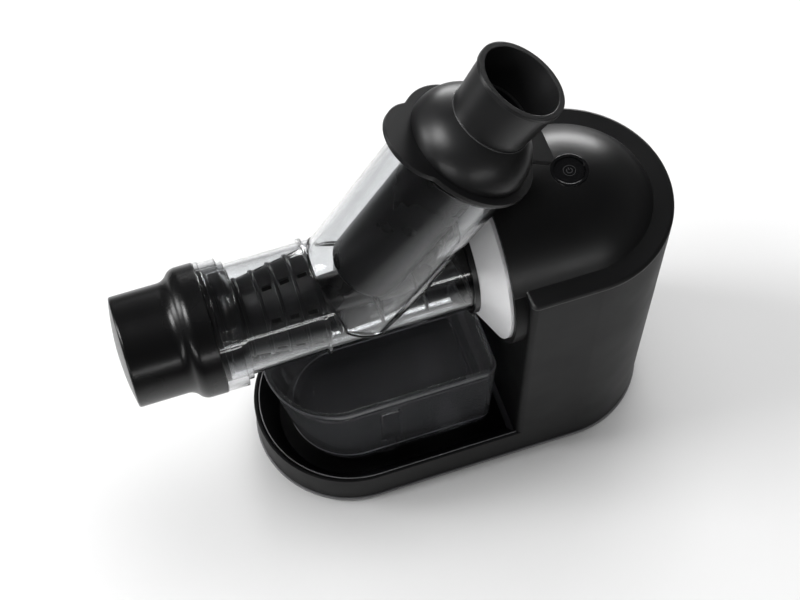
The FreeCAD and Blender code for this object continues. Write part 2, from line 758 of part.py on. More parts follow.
# Press screw: tapered core with a helical flight
def juicing_screw():
    tip, rear = d.screw_tip.number, d.screw_rear.number
    length = rear - tip
    core = Part.makeCone(d.screw_core_tip.number, d.screw_core.number, length)
    root_tip, root_rear = d.screw_core_tip.number - 1, d.screw_core.number - 1
    bore = d.strainer_wall.number + d.flight_gap.number
    slope_start = d.strainer_front.number
    slope_end = d.strainer_rear.number
    full = strainer_rear_radius.number - bore

    def outer_radius(x):
        share = min(max((x - slope_start) / (slope_end - slope_start), 0), 1)
        narrow = strainer_front_radius.number - bore
        return narrow + share * (full - narrow)

    turns = length / d.flight_pitch.number
    steps = int(round(turns * 8))
    half = d.flight_width.number / 2
    sections = []
    for index in range(steps + 1):
        share = index / steps
        angle = 2 * math.pi * turns * share
        z = share * (length - 2 * half) + half
        radius = outer_radius(tip + z)
        inner = root_tip + (root_rear - root_tip) * z / length
        direction = Vector(math.cos(angle), math.sin(angle), 0)
        corners = [direction * inner + Vector(0, 0, z - half),
                   direction * radius + Vector(0, 0, z - half * 0.4),
                   direction * radius + Vector(0, 0, z + half * 0.4),
                   direction * inner + Vector(0, 0, z + half)]
        sections.append(Part.makePolygon(corners + [corners[0]]))
    flight = Part.makeLoft(sections, True, True)
    solid = core.fuse(flight)
    hexagon = [Vector(math.cos(math.radians(60 * n)), math.sin(math.radians(60 * n)), 0)
               * (d.hex_radius.number + d.slack.number) for n in range(7)]
    socket = Part.Face(Part.makePolygon(hexagon)).extrude(Vector(0, 0, 30))
    socket.translate(Vector(0, 0, length - 28))
    solid = solid.cut(socket)
    feature = document.addObject("Part::Feature", "screw")
    solid.rotate(Vector(), Vector(0, 1, 0), 90)
    solid.translate(Vector(tip, 0, d.axis_height.number))
    feature.Shape = solid
    homes[feature.Name] = d.screw_tip
    return feature


# Pusher: barrel, lobed flange and hollow grip
def pusher_barrel():
    wall = d.pusher_wall
    corner = 5.0
    top = flange_height + d.flange_thick
    throat = d.neck_radius - d.grip_wall - d.slack
    floor = d.pusher_end + d.pusher_floor
    barrel = turned_on_chute("barrel_turned", [[
        (0.0, d.pusher_end), (d.pusher_radius - corner, d.pusher_end),
        (d.pusher_radius, d.pusher_end + corner,
         (d.pusher_radius - corner, d.pusher_end + corner, 1)),
        (d.pusher_radius, top), (throat, top), (throat, d.neck_height + 4),
        (throat - wall, d.neck_height + 4), (throat - wall, floor), (0.0, floor)]])
    swept = turned_on_tube("barrel_clearance", [ring(d.chute_foot - 60, d.chute_foot + 60, 0.0,
                                                     strainer_rear_radius)])
    return cut("barrel", barrel, swept)


def pusher_flange():
    body = new_body("flange")
    disc = new_sketch(body, "XY_Plane", [(0, 0, d.flange_radius)], (0, 0, flange_height))
    pad(body, disc, d.flange_thick)
    thumb = new_sketch(body, "XY_Plane", [(-d.thumb_reach, 0, d.thumb_radius)],
                       (0, 0, flange_height))
    pad(body, thumb, d.flange_thick)
    tab = new_sketch(body, "XY_Plane", [[
        (0, -d.tab_near), (d.tab_reach, -d.tab_near), (d.tab_reach, d.tab_far), (0, d.tab_far)]],
        (0, 0, flange_height))
    plate = pad(body, tab, d.flange_thick)
    round_edges(body, plate, d.flange_corner, upright)
    hole = new_sketch(body, "XY_Plane", [(0, 0, d.pusher_radius + d.slack)], (0, 0, flange_height))
    pocket(body, hole, d.flange_thick + 1, True)
    tilt(body)
    return body


def pusher_grip():
    low = flange_height + d.flange_thick + d.slack
    wall = d.grip_wall
    neck = d.neck_radius
    crown = low + (d.dome_curve * d.dome_curve
                   - (neck + 0.5 - d.dome_base + d.dome_curve) * (neck + 0.5 - d.dome_base + d.dome_curve)
                   ).root()
    centre = d.dome_base - d.dome_curve
    lip = d.mouth_height - d.mouth_bead
    return turned_on_chute("grip", [[
        (d.dome_base - wall, low), (d.dome_base, low),
        (neck + 0.5, crown, (centre, low, 1)), (neck, crown + 0.5),
        (d.mouth_radius - 0.9, lip), (d.mouth_radius, lip), (d.mouth_radius, d.mouth_height),
        (d.mouth_radius - d.mouth_lip, d.mouth_height), (neck - wall, d.neck_height + 4.2),
        (neck - wall, low + d.dome_curve * 0.8), (d.dome_base - 2 * wall, low + d.dome_curve * 0.4)]])


# Juice jug: straight back with rounded corners, round front, drawn-in foot and a finger recess
def jug_outline(centre, radius, rear, corner):
    return [(centre, radius), (centre, -radius, (centre, 0, 1)), (rear - corner, -radius),
            (rear, corner - radius, (rear - corner, corner - radius, 1)), (rear, radius - corner),
            (rear - corner, radius, (rear - corner, radius - corner, 1))]


def jug_share(low, high, z):
    """A jug size at a height, from its value at the bottom and its value at the rim."""
    return low + (high - low) * ((z - d.jug_bottom) / (d.jug_rim - d.jug_bottom))


def loft(name, low, high):
    """A straight-sided solid between two levels, each a height with its outline."""
    body = new_body(name)
    lower, upper = [new_sketch(body, "XY_Plane", [outline], (0, 0, z))
                    for z, outline in (low, high)]
    solid = body.newObject("PartDesign::AdditiveLoft", name + "_loft")
    solid.Profile = lower
    solid.Sections = [upper]
    solid.Ruled = True
    return body


def jug_section(z, inset):
    radius = jug_share(jug_base_radius, jug_rim_radius, z) - inset
    centre = jug_share(d.jug_base_centre, d.jug_rim_centre, z)
    return z, jug_outline(centre, radius, d.jug_rear - inset, d.jug_corner - inset)


def recess_section(z, grow):
    wall = jug_share(jug_base_radius, jug_rim_radius, z)
    return z, (d.recess_centre, d.recess_depth - wall - d.recess_radius, d.recess_radius + grow)


def juice_jug():
    low, rim = d.jug_bottom, d.jug_rim
    skirt_top = low + d.jug_skirt
    thin = d.jug_wall + d.jug_skirt_step
    foot = loft("jug_foot", jug_section(low, d.jug_skirt_step), jug_section(skirt_top, d.jug_skirt_step))
    outer = loft("jug_outer", jug_section(skirt_top, 0), jug_section(rim, 0))
    shape = fuse("jug_solid", foot, outer)
    inner = loft("jug_inner", jug_section(low + d.jug_wall, thin), jug_section(rim + 1, thin))
    kept = loft("recess_wall", recess_section(low, d.jug_wall),
                recess_section(d.recess_top + d.jug_wall, d.jug_wall))
    room = cut("jug_room", inner, kept)
    trough = loft("recess", recess_section(d.recess_shelf, 0), recess_section(d.recess_top, 0))
    return cut("jug", shape, room, trough)


# Power button, its well and the switch below it
def power_button():
    top = dome_top - d.button_sink
    floor = top - d.button_thick
    stem = floor - (dome_top - d.well_depth) + d.slack
    cap = rod("button_cap", d.button_centre, 0, floor, d.button_radius, d.button_thick, "z")
    pin = rod("button_stem", d.button_centre, 0, floor - stem, d.stem_radius, stem + 1, "z")
    return fuse("button", cap, pin)


def button_well():
    low = dome_top - d.well_depth
    top = dome_top - 0.6
    outer = rod("well_outer", d.button_centre, 0, low, d.well_radius, top - low, "z")
    inner = rod("well_inner", d.button_centre, 0, low + d.well_floor, d.button_radius + 0.4,
                top - low, "z")
    hole = rod("well_hole", d.button_centre, 0, low - 1, 2.4, 4, "z")
    return cut("well", outer, inner, hole)


def power_switch():
    low = dome_top - d.well_depth
    case = block("switch_case", d.button_centre - d.switch_length / 2, -d.switch_width / 2,
                 low - d.switch_height - 0.1, d.switch_length, d.switch_width, d.switch_height)
    room = rod("switch_room", d.button_centre, 0, low - 3.0, d.switch_bore, 6, "z")
    return cut("switch", case, room)


# Gear train, shafts, bearings, gear case and motor
def gear_face(teeth, module, backlash):
    """Flat toothed face in the YZ plane, one tooth centred on +Z."""
    pitch = module * teeth / 2
    tip, root = pitch + module * 0.95, pitch - module * 1.2
    step = 2 * math.pi / teeth
    half_pitch = step / 4 - backlash / pitch / 2
    points = []
    for index in range(teeth):
        middle = index * step
        for radius, offset in ((root, -half_pitch * 1.55), (pitch, -half_pitch),
                               (tip, -half_pitch * 0.5), (tip, half_pitch * 0.5),
                               (pitch, half_pitch), (root, half_pitch * 1.55)):
            angle = middle + offset
            points.append(Vector(0, radius * math.sin(angle), radius * math.cos(angle)))
    return Part.Face(Part.makePolygon(points + [points[0]]))


def gear(teeth, module, start, width, height, phase):
    face = gear_face(int(teeth.number), module.number, 0.35)
    solid = face.extrude(Vector(width.number, 0, 0))
    solid.rotate(Vector(), Vector(1, 0, 0), phase)
    solid.translate(Vector(start.number, 0, height.number))
    return solid


def toothed(name, shape):
    feature = document.addObject("Part::Feature", name)
    feature.Shape = shape.removeSplitter()
    return feature


def bar_shape(x0, x1, radius, height):
    return Part.makeCylinder(radius, x1 - x0, Vector(x0, 0, height), Vector(1, 0, 0))


def output_gear():
    shape = gear(d.teeth_large, d.module_output, d.gear_start, d.gear_width, d.axis_height, 0)
    hub = bar_shape(d.gear_start.number - 1.2, d.gear_start.number + d.gear_width.number + 2.5,
                    d.shaft_radius.number + 4, d.axis_height.number)
    bore = bar_shape(d.gear_start.number - 5, d.gear_start.number + 20,
                     d.shaft_radius.number + d.slack.number, d.axis_height.number)
    return toothed("wheel_output", shape.fuse(hub).cut(bore))


def idler_gear():
    half_tooth = 180.0 / d.teeth_large.number
    small = gear(d.teeth_small, d.module_output, d.gear_start, d.gear_width, idler_height,
                 180.0 / d.teeth_small.number)
    large = gear(d.teeth_large, d.module_motor, second_gear, d.gear_width - 1, idler_height, half_tooth)
    hub = bar_shape(d.gear_start.number + d.gear_width.number - 0.5, second_gear.number + 0.5,
                    7.0, idler_height.number)
    bore = bar_shape(d.gear_start.number - 5, d.gear_start.number + 30,
                     d.idler_pin_radius.number + d.slack.number, idler_height.number)
    return toothed("wheel_idler", small.fuse([large, hub]).cut(bore))


def idler_pin():
    start = d.case_start + 0.4
    return rod("pin", start, 0, idler_height, d.idler_pin_radius, case_end + d.case_wall - start - 0.4)


def drive_shaft():
    start = d.screw_rear - 26
    end = case_end + d.case_wall - 0.4
    face = Part.Face(Part.makePolygon([
        Vector(0, math.sin(math.radians(60 * n)), math.cos(math.radians(60 * n)))
        * (d.hex_radius.number) for n in range(7)]))
    tip = face.extrude(Vector((d.screw_rear - start).number + 1, 0, 0))
    tip.translate(Vector(start.number, 0, d.axis_height.number))
    bar = bar_shape(d.screw_rear.number + 0.5, end.number, d.shaft_radius.number, d.axis_height.number)
    feature = document.addObject("Part::Feature", "shaft")
    feature.Shape = tip.fuse(bar)
    return feature


def bearing(name, start, height, inner, outer, width):
    return cut(name, rod(name + "_outer", start, 0, height, outer, width),
               rod(name + "_bore", start - 1, 0, height, inner, width + 2))


def case_outline(grow):
    """Outline across the gear case as (y, z) corners: round over each wheel."""
    top = output_radius + 5 + grow
    low = d.module_motor * d.teeth_large / 2 + 8 + grow
    return [(top, d.axis_height), (-top, d.axis_height, (0, d.axis_height, 1)), (-low, motor_height + 12),
            (low, motor_height + 12, (0, motor_height + 12, 1))]


def gear_case_front():
    body = new_body("case_front")
    face = new_sketch(body, "YZ_Plane", [case_outline(0)], (0, 0, d.case_start))
    pad(body, face, d.case_wall)
    holes = new_sketch(body, "YZ_Plane", [(0, d.axis_height, d.output_bearing_radius + d.slack)], (0, 0, d.case_start))
    pocket(body, holes, d.case_wall + 1, True)
    return cut("case_front_cut", body, rod("case_front_pin", d.case_start, 0, idler_height,
                                           d.idler_pin_radius + d.slack, d.case_wall + 1))


def gear_case_rear():
    body = new_body("case_rear")
    start = d.case_start + d.case_wall + d.slack
    face = new_sketch(body, "YZ_Plane", [case_outline(0)], (0, 0, start))
    pad(body, face, case_end + d.case_wall - start)
    room = new_sketch(body, "YZ_Plane", [case_outline(-d.case_wall)], (0, 0, start))
    pocket(body, room, case_end - start, True)
    return cut("case_rear_cut", body,
               rod("rear_bearing_hole", case_end - 1, 0, d.axis_height,
                   d.output_bearing_radius + d.slack, d.case_wall + 2),
               rod("rear_pin_hole", case_end - 1, 0, idler_height, d.idler_pin_radius + d.slack,
                   d.case_wall + 2),
               rod("rear_motor_hole", case_end - 1, 0, motor_height, d.output_bearing_radius,
                   d.case_wall + 2))


def motor_can():
    start = motor_start
    outer = rod("can_outer", start, 0, motor_height, motor_radius, motor_length)
    room = rod("can_inner", start + d.can_end, 0, motor_height, motor_radius - d.can_wall,
               motor_length - d.can_end * 2)
    front = rod("can_front_hole", start - 1, 0, motor_height, d.motor_bearing_radius + d.slack, 10)
    rear = rod("can_rear_hole", start + motor_length - d.can_end * 2, 0, motor_height,
               d.motor_bearing_radius + d.slack, 10)
    return cut("can", outer, room, front, rear)


def motor_rotor():
    start = motor_start
    pinion = gear(d.teeth_small, d.module_motor, second_gear, d.gear_width - 1, motor_height, 0)
    bar = bar_shape(second_gear.number - 0.4, (start + motor_length).number - 0.5,
                    d.motor_shaft_radius.number, motor_height.number)
    core = bar_shape(start.number + 8, (start + motor_length).number - 8,
                     motor_radius.number - 8, motor_height.number)
    return toothed("rotor", pinion.fuse([bar, core]))


def motor_bearings():
    start = motor_start
    inner = d.motor_shaft_radius + d.slack
    return group("motor_bearing_pair",
                 bearing("motor_bearing_front", start + 0.1, motor_height, inner,
                         d.motor_bearing_radius, d.motor_bearing_width),
                 bearing("motor_bearing_rear", start + motor_length - d.motor_bearing_width - 0.1,
                         motor_height, inner, d.motor_bearing_radius, d.motor_bearing_width))


def output_bearings():
    inner = d.shaft_radius + d.slack
    return group("output_bearing_pair",
                 bearing("output_bearing_front", d.case_start, d.axis_height, inner,
                         d.output_bearing_radius, d.case_wall),
                 bearing("output_bearing_rear", case_end, d.axis_height, inner,
                         d.output_bearing_radius, d.case_wall))


def shaft_seal():
    return turned_on_tube("lip_seal", [ring(d.tube_rear + d.fit, d.tower_front + d.shell,
                                            d.shaft_radius + d.slack, d.seal_radius)])


def circuit_board():
    return block("board", motor_start + 6, -d.board_width / 2, motor_height + motor_radius + 0.1,
                 d.board_height, d.board_width, d.board_thick)


def cable_gland():
    outer = rod("gland_outer", d.base_span + d.base_radius - 6, 0, d.gland_height, d.gland_radius,
                d.gland_length)
    bore = rod("gland_bore", d.base_span + d.base_radius - 7, 0, d.gland_height, d.cable_radius, 10)
    return cut("gland", outer, bore)


piece("base_plate", base_plate())
piece("rubber_feet", rubber_feet())
piece("lower_housing", lower_housing())
piece("top_cover", top_cover())
piece("drive_cone", drive_cone())
piece("coupling_collar", coupling_collar())
piece("juicing_chamber", juicing_chamber())
piece("bayonet_ring", bayonet_ring())
piece("pulp_seal", pulp_seal())
piece("pulp_container", pulp_container())
piece("strainer", strainer())
piece("juicing_screw", juicing_screw())
piece("pusher_barrel", pusher_barrel())
piece("pusher_flange", pusher_flange())
piece("pusher_grip", pusher_grip())
piece("juice_jug", juice_jug())
piece("power_button", power_button())
piece("button_well", button_well())
piece("power_switch", power_switch())
piece("output_gear", output_gear())
piece("idler_gear", idler_gear())
piece("idler_pin", idler_pin())
piece("drive_shaft", drive_shaft())
piece("output_bearings", output_bearings())
piece("gear_case_front", gear_case_front())
piece("gear_case_rear", gear_case_rear())
piece("motor_can", motor_can())
piece("motor_rotor", motor_rotor())
piece("motor_bearings", motor_bearings())
piece("shaft_seal", shaft_seal())
piece("circuit_board", circuit_board())
piece("cable_gland", cable_gland())

document.recompute()
problems = [thing.Name for thing in document.Objects
            if "Invalid" in thing.State or "Error" in thing.State]
for thing in pieces:
    if thing.Shape.isNull() or not thing.Shape.isValid() or not thing.Shape.Solids:
        problems.append(thing.Label)
if problems:
    raise RuntimeError("failed: " + ", ".join(problems))

os.makedirs("parts", exist_ok=True)
for thing in pieces:
    thing.Shape.exportStep("parts/%s.step" % thing.Label)
    box = thing.Shape.BoundBox
    print("%-18s %2d solids  x %.1f %.1f  y %.1f %.1f  z %.1f %.1f"
          % (thing.Label, len(thing.Shape.Solids), box.XMin, box.XMax, box.YMin, box.YMax,
             box.ZMin, box.ZMax))
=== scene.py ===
"""Looks of the cold press juicer: finishes, small surface details, floor, light and camera."""
import json
import math

import bmesh
import bpy
from mathutils import Matrix, Vector


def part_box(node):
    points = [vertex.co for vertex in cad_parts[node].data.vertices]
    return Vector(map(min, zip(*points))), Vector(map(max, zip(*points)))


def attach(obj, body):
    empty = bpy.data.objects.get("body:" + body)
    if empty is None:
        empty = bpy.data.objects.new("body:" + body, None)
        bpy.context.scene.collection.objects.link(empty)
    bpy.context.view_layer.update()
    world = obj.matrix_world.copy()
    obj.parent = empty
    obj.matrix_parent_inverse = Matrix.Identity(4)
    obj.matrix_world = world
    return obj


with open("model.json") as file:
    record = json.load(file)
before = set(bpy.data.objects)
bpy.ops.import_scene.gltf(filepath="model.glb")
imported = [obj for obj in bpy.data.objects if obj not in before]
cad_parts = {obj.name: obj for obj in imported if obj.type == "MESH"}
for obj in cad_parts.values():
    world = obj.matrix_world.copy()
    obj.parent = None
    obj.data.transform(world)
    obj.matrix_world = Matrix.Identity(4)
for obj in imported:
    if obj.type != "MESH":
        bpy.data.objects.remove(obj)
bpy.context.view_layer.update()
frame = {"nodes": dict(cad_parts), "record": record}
nodes = frame["nodes"]

CLOUD_LOW, CLOUD_HIGH = 0.3, 0.7            # part of a noise's range that a ramp spreads

# Node materials
def new_material(name):
    material = bpy.data.materials.new(name)
    material.use_nodes = True
    shader = material.node_tree.nodes["Principled BSDF"]
    return material, material.node_tree, shader


def add_node(tree, kind, **settings):
    node = tree.nodes.new(kind)
    for key, value in settings.items():
        setattr(node, key, value)
    return node


def object_position(tree, scale):
    """Position on the object in metres, times a scale."""
    place = add_node(tree, "ShaderNodeTexCoord")
    mapping = add_node(tree, "ShaderNodeMapping")
    mapping.inputs["Scale"].default_value = scale
    tree.links.new(place.outputs["Object"], mapping.inputs["Vector"])
    return mapping.outputs["Vector"]


def noise(tree, vector, scale, detail=2.0):
    node = add_node(tree, "ShaderNodeTexNoise")
    node.inputs["Scale"].default_value = scale
    node.inputs["Detail"].default_value = detail
    tree.links.new(vector, node.inputs["Vector"])
    return node.outputs["Fac"]


def ramp(tree, value, low, high, at_low=0.0, at_high=1.0):
    """A grey or coloured ramp between two values of its input."""
    node = add_node(tree, "ShaderNodeValToRGB")
    node.color_ramp.elements[0].position = at_low
    node.color_ramp.elements[1].position = at_high
    node.color_ramp.elements[0].color = low
    node.color_ramp.elements[1].color = high
    tree.links.new(value, node.inputs["Fac"])
    return node.outputs["Color"]


def grey(value):
    return (value, value, value, 1.0)


def bump(tree, shader, height, strength, distance, edge=0.0):
    """Fine relief from a height, on edges that are softened over a small radius."""
    node = add_node(tree, "ShaderNodeBump")
    node.inputs["Strength"].default_value = strength
    node.inputs["Distance"].default_value = distance
    tree.links.new(height, node.inputs["Height"])
    if edge:
        soft = add_node(tree, "ShaderNodeBevel", samples=4)
        soft.inputs["Radius"].default_value = edge
        tree.links.new(soft.outputs["Normal"], node.inputs["Normal"])
    tree.links.new(node.outputs["Normal"], shader.inputs["Normal"])


def moulded_plastic(name, colour, roughness, specular=0.4, spread=0.04, grain=2600.0,
                    grain_depth=0.00002, edge=0.0007):
    """Injection-moulded plastic: fine spark-eroded grain and slightly uneven gloss."""
    material, tree, shader = new_material(name)
    position = object_position(tree, (1, 1, 1))
    cloud_scale, shade = 28.0, 1.15
    broad = noise(tree, position, cloud_scale, 3.0)
    fine = noise(tree, position, grain, 1.0)
    low = tuple(channel / shade for channel in colour) + (1.0,)
    high = tuple(channel * shade for channel in colour) + (1.0,)
    tree.links.new(ramp(tree, broad, low, high, CLOUD_LOW, CLOUD_HIGH), shader.inputs["Base Color"])
    gloss = ramp(tree, broad, grey(roughness - spread), grey(roughness + spread),
                 CLOUD_LOW, CLOUD_HIGH)
    tree.links.new(gloss, shader.inputs["Roughness"])
    grain_strength = 0.35
    bump(tree, shader, fine, grain_strength, grain_depth, edge)
    shader.inputs["IOR"].default_value = 1.5
    shader.inputs["Specular IOR Level"].default_value = specular
    return material


def clear_plastic(name, tint, roughness, transmission=1.0, specular=0.5):
    """Transparent moulded plastic with a faintly uneven tint."""
    material, tree, shader = new_material(name)
    position = object_position(tree, (1, 1, 1))
    flow_scale, darker, edge = 16.0, 0.97, 0.0006
    flow = noise(tree, position, flow_scale, 2.0)
    low = tuple(channel * darker for channel in tint) + (1.0,)
    tree.links.new(ramp(tree, flow, low, tint + (1.0,), CLOUD_LOW, CLOUD_HIGH),
                   shader.inputs["Base Color"])
    shader.inputs["Roughness"].default_value = roughness
    shader.inputs["IOR"].default_value = 1.49
    shader.inputs["Transmission Weight"].default_value = transmission
    shader.inputs["Specular IOR Level"].default_value = specular
    soft = add_node(tree, "ShaderNodeBevel", samples=4)
    soft.inputs["Radius"].default_value = edge
    tree.links.new(soft.outputs["Normal"], shader.inputs["Normal"])
    return material


def satin_metal(name, colour, roughness, metallic=1.0):
    """Satin aluminium with a faint cloudy finish."""
    material, tree, shader = new_material(name)
    position = object_position(tree, (1, 1, 1))
    cloud_scale, grain_scale, darker, spread = 40.0, 3500.0, 0.96, 0.02
    near, far = 0.35, 0.65
    cloud = noise(tree, position, cloud_scale, 3.0)
    fine = noise(tree, position, grain_scale, 1.0)
    low = tuple(channel * darker for channel in colour) + (1.0,)
    tree.links.new(ramp(tree, cloud, low, colour + (1.0,), near, far), shader.inputs["Base Color"])
    gloss = ramp(tree, cloud, grey(roughness - spread), grey(roughness + spread), near, far)
    tree.links.new(gloss, shader.inputs["Roughness"])
    shader.inputs["Metallic"].default_value = metallic
    grain_strength, grain_depth, edge = 0.12, 0.00001, 0.0005
    bump(tree, shader, fine, grain_strength, grain_depth, edge)
    return material


satin_black = moulded_plastic("satin_black", (0.0045, 0.0045, 0.0048), 0.36, 0.5)
body_black = moulded_plastic("body_black", (0.004, 0.004, 0.0042), 0.42, 0.11)
cup_black = moulded_plastic("cup_black", (0.003, 0.003, 0.0032), 0.27, 0.42)
# The pusher's own black, made about twice as light as the other blacks as painted light for the lit
# inside of its mouth.
grip_lit_black = moulded_plastic("grip_lit_black", (0.009, 0.009, 0.0094), 0.36, 0.5)
# Pale grey for the bead in the pusher's neck crease: painted highlight.
crease_highlight_grey = moulded_plastic("crease_highlight_grey", (0.05, 0.05, 0.051), 0.25, 0.5, 0.02)
barrel_black = moulded_plastic("barrel_black", (0.005, 0.005, 0.0055), 0.28, 0.4, 0.02, 2600.0, 0.0)
ring_black = moulded_plastic("ring_black", (0.005, 0.005, 0.0054), 0.3, 0.5)
gloss_black = moulded_plastic("gloss_black", (0.004, 0.004, 0.0045), 0.2, 0.4, 0.02)
symbol_grey = moulded_plastic("symbol_grey", (0.035, 0.035, 0.036), 0.3, 0.4, 0.02)
# Mid grey for the base plate, its rim and the bead on the tray's rim: painted highlight lines on
# dark edges.
edge_highlight_grey = moulded_plastic("edge_highlight_grey", (0.16, 0.16, 0.165), 0.35)
dark_inner = moulded_plastic("dark_inner", (0.014, 0.014, 0.015), 0.35)
screw_black = moulded_plastic("screw_black", (0.01, 0.01, 0.011), 0.28, 0.5)
rubber = moulded_plastic("rubber", (0.012, 0.012, 0.012), 0.7, 0.3, 0.04, 1500.0, 0.00004)
gear_plastic = moulded_plastic("gear_plastic", (0.72, 0.7, 0.64), 0.45)
board_green = moulded_plastic("board_green", (0.02, 0.13, 0.05), 0.4)
clear = clear_plastic("clear", (0.91, 0.92, 0.93), 0.01, 1.0, 0.3)
seam_black = moulded_plastic("seam_black", (0.008, 0.008, 0.0085), 0.2, 0.5, 0.02)
# Pale grey for the beads on the jug: painted highlight lines.
smoke_edge_highlight = moulded_plastic("smoke_edge_highlight", (0.16, 0.16, 0.17), 0.2, 0.5, 0.02)
smoke = clear_plastic("smoke", (0.58, 0.59, 0.61), 0.03, 0.95, 0.5)
silver = satin_metal("silver", (0.92, 0.92, 0.93), 0.32, 0.35)
steel = satin_metal("steel", (0.55, 0.55, 0.57), 0.28)
motor_grey = moulded_plastic("motor_grey", (0.2, 0.21, 0.22), 0.4)

FINISHES = {
    body_black: ["lower_housing"],
    satin_black: ["top_cover", "pusher_flange"],
    cup_black: ["pulp_container"],
    grip_lit_black: ["pusher_grip"],
    barrel_black: ["pusher_barrel"],
    ring_black: ["coupling_collar"],
    # The base plate's grey paints the highlight on its rim.
    edge_highlight_grey: ["base_plate"],
    gloss_black: ["power_button", "button_well"],
    dark_inner: ["strainer", "power_switch"],
    screw_black: ["juicing_screw"],
    rubber: ["rubber_feet", "pulp_seal", "shaft_seal", "cable_gland"],
    gear_plastic: ["output_gear", "idler_gear", "gear_case_front", "gear_case_rear"],
    board_green: ["circuit_board"],
    clear: ["juicing_chamber", "bayonet_ring"],
    smoke: ["juice_jug"],
    silver: ["drive_cone"],
    steel: ["idler_pin", "drive_shaft", "output_bearings", "motor_rotor", "motor_bearings"],
    motor_grey: ["motor_can"],
}
for material, names in FINISHES.items():
    for name in names:
        nodes[name].data.materials.clear()
        nodes[name].data.materials.append(material)


def add_piece(name, shape, material, body):
    """Makes an object from a bmesh, and says what it rides on and how it is finished."""
    mesh = bpy.data.meshes.new(name)
    shape.to_mesh(mesh)
    shape.free()
    mesh.materials.append(material)
    piece = bpy.data.objects.new(name, mesh)
    bpy.context.collection.objects.link(piece)
    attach(piece, body)
    return piece


def turned(name, outline, material, body, segments=96):
    """A ring turned about the tube's axis from (x, radius) corners in metres."""
    low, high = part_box("pulp_seal")
    height = (low[2] + high[2]) / 2
    shape = bmesh.new()
    rows = []
    for step in range(segments):
        angle = 2 * math.pi * step / segments
        rows.append([shape.verts.new((x, radius * math.sin(angle),
                                      height + radius * math.cos(angle)))
                     for x, radius in outline])
    count = len(outline)
    for step in range(segments):
        near, far = rows[step], rows[(step + 1) % segments]
        for corner in range(count):
            after = (corner + 1) % count
            shape.faces.new((near[corner], near[after], far[after], far[corner]))
    bmesh.ops.recalc_face_normals(shape, faces=shape.faces)
    piece = add_piece(name, shape, material, body)
    for face in piece.data.polygons:
        face.use_smooth = True
    return piece


def stadium_points(front, rear, radius, steps=32):
    """Points round a round-ended outline about two centres on the X axis."""
    points = []
    for centre, start in ((rear, -90), (front, 90)):
        for step in range(steps + 1):
            angle = math.radians(start + 180 * step / steps)
            points.append((centre + radius * math.cos(angle), radius * math.sin(angle)))
    return points


def bead_along(name, points, radius, material, body, sides=8):
    """A closed thin bead that follows a ring of points."""
    count = len(points)
    turns = [2 * math.pi * step / sides for step in range(sides)]
    shape = bmesh.new()
    rows = []
    lift = Vector((0, 0, 1))
    for index, point in enumerate(points):
        along = (points[(index + 1) % count] - points[index - 1]).normalized()
        lift = (lift - lift.dot(along) * along).normalized()
        side = along.cross(lift)
        offsets = [radius * (math.cos(turn) * side + math.sin(turn) * lift) for turn in turns]
        rows.append([shape.verts.new(point + offset) for offset in offsets])
    for index in range(count):
        near, far = rows[index], rows[(index + 1) % count]
        for step in range(sides):
            after = (step + 1) % sides
            shape.faces.new((near[step], near[after], far[after], far[step]))
    bmesh.ops.recalc_face_normals(shape, faces=shape.faces)
    piece = add_piece(name, shape, material, body)
    for face in piece.data.polygons:
        face.use_smooth = True
    return piece


def round_front_outline(front, half, rear, corner, height):
    """Points round an outline with a half-round front and two rounded rear corners."""
    points = []
    arcs = [(front, 0.0, half, 90, 180, 40), (rear - corner, corner - half, corner, 270, 90, 10),
            (rear - corner, half - corner, corner, 0, 90, 10)]
    for x, y, radius, start, sweep, steps in arcs:
        for step in range(steps + 1):
            angle = math.radians(start + sweep * step / steps)
            points.append(Vector((x + radius * math.cos(angle), y + radius * math.sin(angle),
                                  height)))
    return points


# Painted highlight lines: pale beads round the jug's rim and along the top of its drawn-in foot
def make_jug_beads():
    low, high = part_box("juice_jug")
    corner, rim_bead, skirt_bead = 0.007, 0.0005, 0.0003
    half = (high[1] - low[1]) / 2 - rim_bead
    front, rear = low[0] + rim_bead + half, high[0] - rim_bead
    bead_along("jug_rim_bead", round_front_outline(front, half, rear, corner, high[2] - rim_bead),
               rim_bead, smoke_edge_highlight, "jug")
    skirt_height, flare, drift = 0.013, 0.0051, 0.0099
    above = 1 - skirt_height / (high[2] - low[2])
    proud = 0.0006
    outline = round_front_outline(front + drift * above, half - flare * above + proud, rear,
                                  corner, low[2] + skirt_height)
    bead_along("jug_skirt_bead", outline, skirt_bead, smoke_edge_highlight, "jug")


make_jug_beads()


# Painted highlight: a pale bead along the inside of the tray's rim
def make_tray_bead():
    low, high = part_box("lower_housing")
    rim_height, rim_radius, tower_front = 0.0301, 0.0584, 0.0590
    bead, corner = 0.00035, 0.001
    front = low[0] + (high[1] - low[1]) / 2
    outline = round_front_outline(front, rim_radius, tower_front, corner, rim_height - bead * 0.5)
    bead_along("tray_bead", outline, bead, edge_highlight_grey, "housing")


make_tray_bead()


def chute_direction():
    """The chute's axis, along which the pusher slides."""
    joint = next(entry for entry in frame["record"]["behaviour"]["joints"]
                 if entry["name"] == "pusher_lift")
    return joint["axis"]


